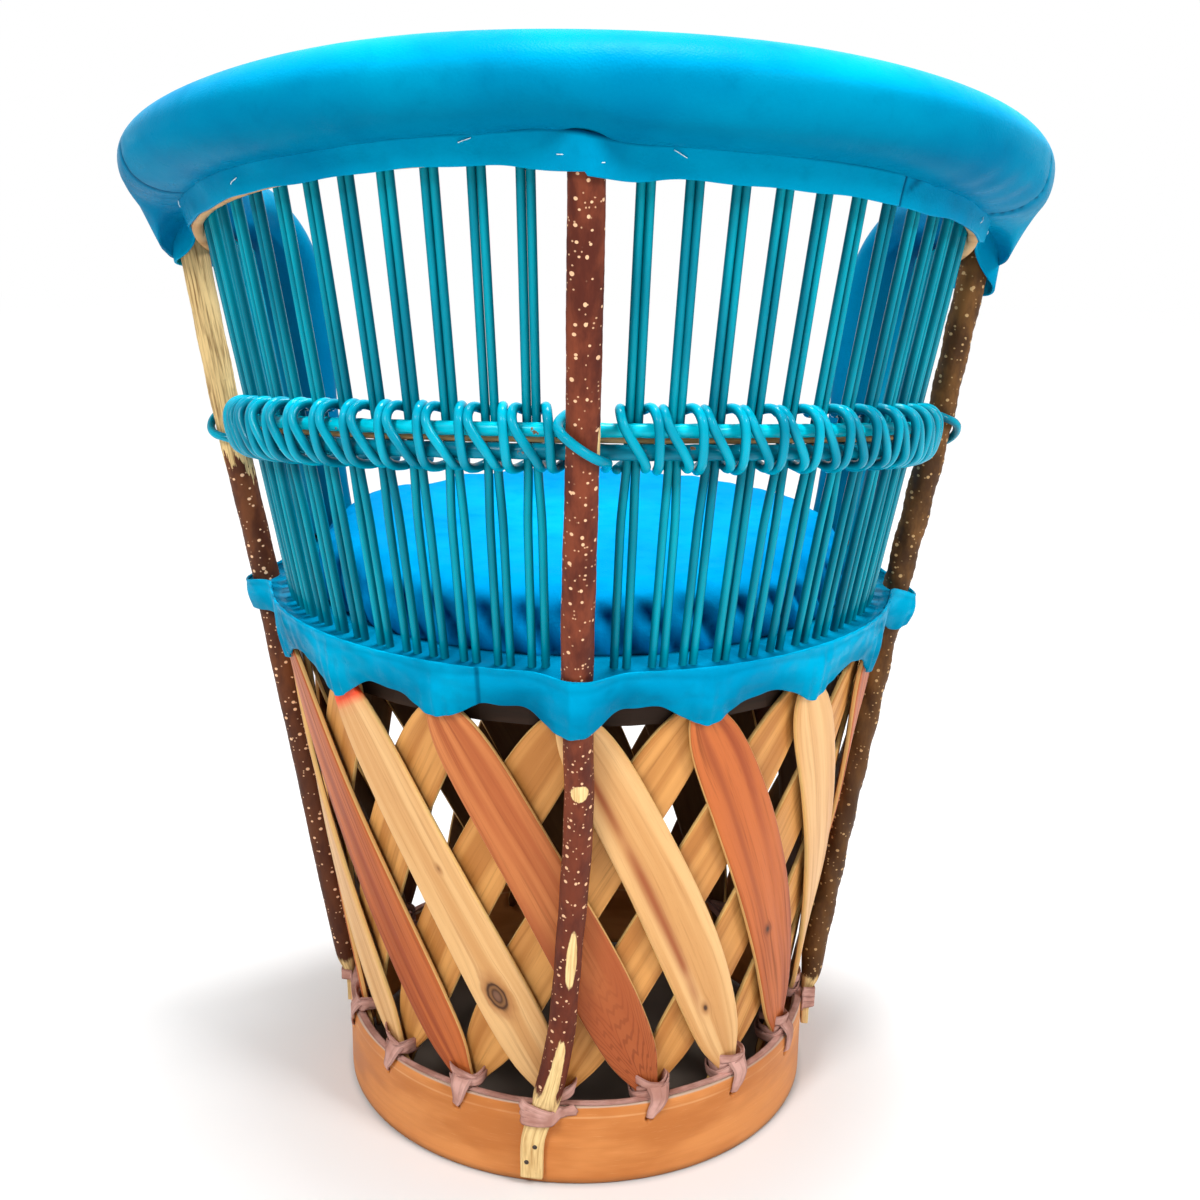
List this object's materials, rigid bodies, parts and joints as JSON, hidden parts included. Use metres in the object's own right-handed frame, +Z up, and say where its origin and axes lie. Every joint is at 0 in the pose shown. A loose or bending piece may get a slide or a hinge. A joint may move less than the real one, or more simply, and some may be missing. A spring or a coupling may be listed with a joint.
{
  "type": "equipal chair",
  "caption": "Barrel-shaped armchair: crossed slats on a bent wood ring, round padded seat, and a laced cord back under a padded leather rim.",
  "frame": {"origin": "on the floor, under the middle of the chair's overall width and depth", "axes": "+Z up, -Y towards the closed back of the chair, +Y towards its open front, +X to the right seen from behind"},
  "size_m": [0.668, 0.5928, 0.8285],
  "materials": {
    "ring_wood": "satin bent wood, orange tan",
    "slat_pale": "smooth oiled wood, pale tan with darker streaks and knots",
    "slat_red": "smooth oiled wood, red brown with darker grain",
    "bark": "dark bark with pale spots, matt",
    "hoop_wood": "plain bent wood, matt",
    "painted_rod": "turquoise paint on a round stick",
    "leather": "turquoise leather, soft sheen",
    "cushion_leather": "bright turquoise leather, soft sheen",
    "cord": "glossy teal plastic cord",
    "rawhide": "mauve brown leather strip, matt"
  },
  "bodies": {
    "root": {"base_ring": "ring_wood", "outer_slat_01": "slat_pale", "inner_slat_01": "slat_pale", "outer_slat_02": "slat_red", "inner_slat_02": "slat_pale", "outer_slat_03": "slat_pale", "inner_slat_03": "slat_pale", "outer_slat_04": "slat_red", "inner_slat_04": "slat_pale", "outer_slat_05": "slat_pale", "inner_slat_05": "slat_pale", "outer_slat_06": "slat_red", "inner_slat_06": "slat_pale", "outer_slat_07": "slat_pale", "inner_slat_07": "slat_pale", "outer_slat_08": "slat_red", "inner_slat_08": "slat_pale", "outer_slat_09": "slat_pale", "inner_slat_09": "slat_pale", "outer_slat_10": "slat_red", "inner_slat_10": "slat_pale", "outer_slat_11": "slat_pale", "inner_slat_11": "slat_pale", "outer_slat_12": "slat_red", "inner_slat_12": "slat_pale", "outer_slat_13": "slat_pale", "inner_slat_13": "slat_pale", "outer_slat_14": "slat_red", "inner_slat_14": "slat_pale", "outer_slat_15": "slat_pale", "inner_slat_15": "slat_pale", "outer_slat_16": "slat_red", "inner_slat_16": "slat_pale", "rear_post": "bark", "left_post": "bark", "right_post": "bark", "front_left_post": "bark", "front_right_post": "bark", "seat_hoop": "hoop_wood", "seat_panel": "hoop_wood", "seat_cushion": "cushion_leather", "seat_skirt": "leather", "mid_hoop_upper": "painted_rod", "mid_hoop_lower": "painted_rod", "top_hoop": "hoop_wood", "rim_flap": "leather", "rim_roll": "leather", "rear_right_cords_1": "cord", "rear_left_cords_1": "cord", "rear_right_cords_2": "cord", "rear_left_cords_2": "cord", "rear_right_cords_3": "cord", "rear_left_cords_3": "cord", "right_side_cords": "cord", "left_side_cords": "cord", "left_side_lashing": "cord", "rear_left_lashing": "cord", "rear_right_lashing": "cord", "right_side_lashing": "cord", "base_lacing": "rawhide"}
  },
  "joints": []
}
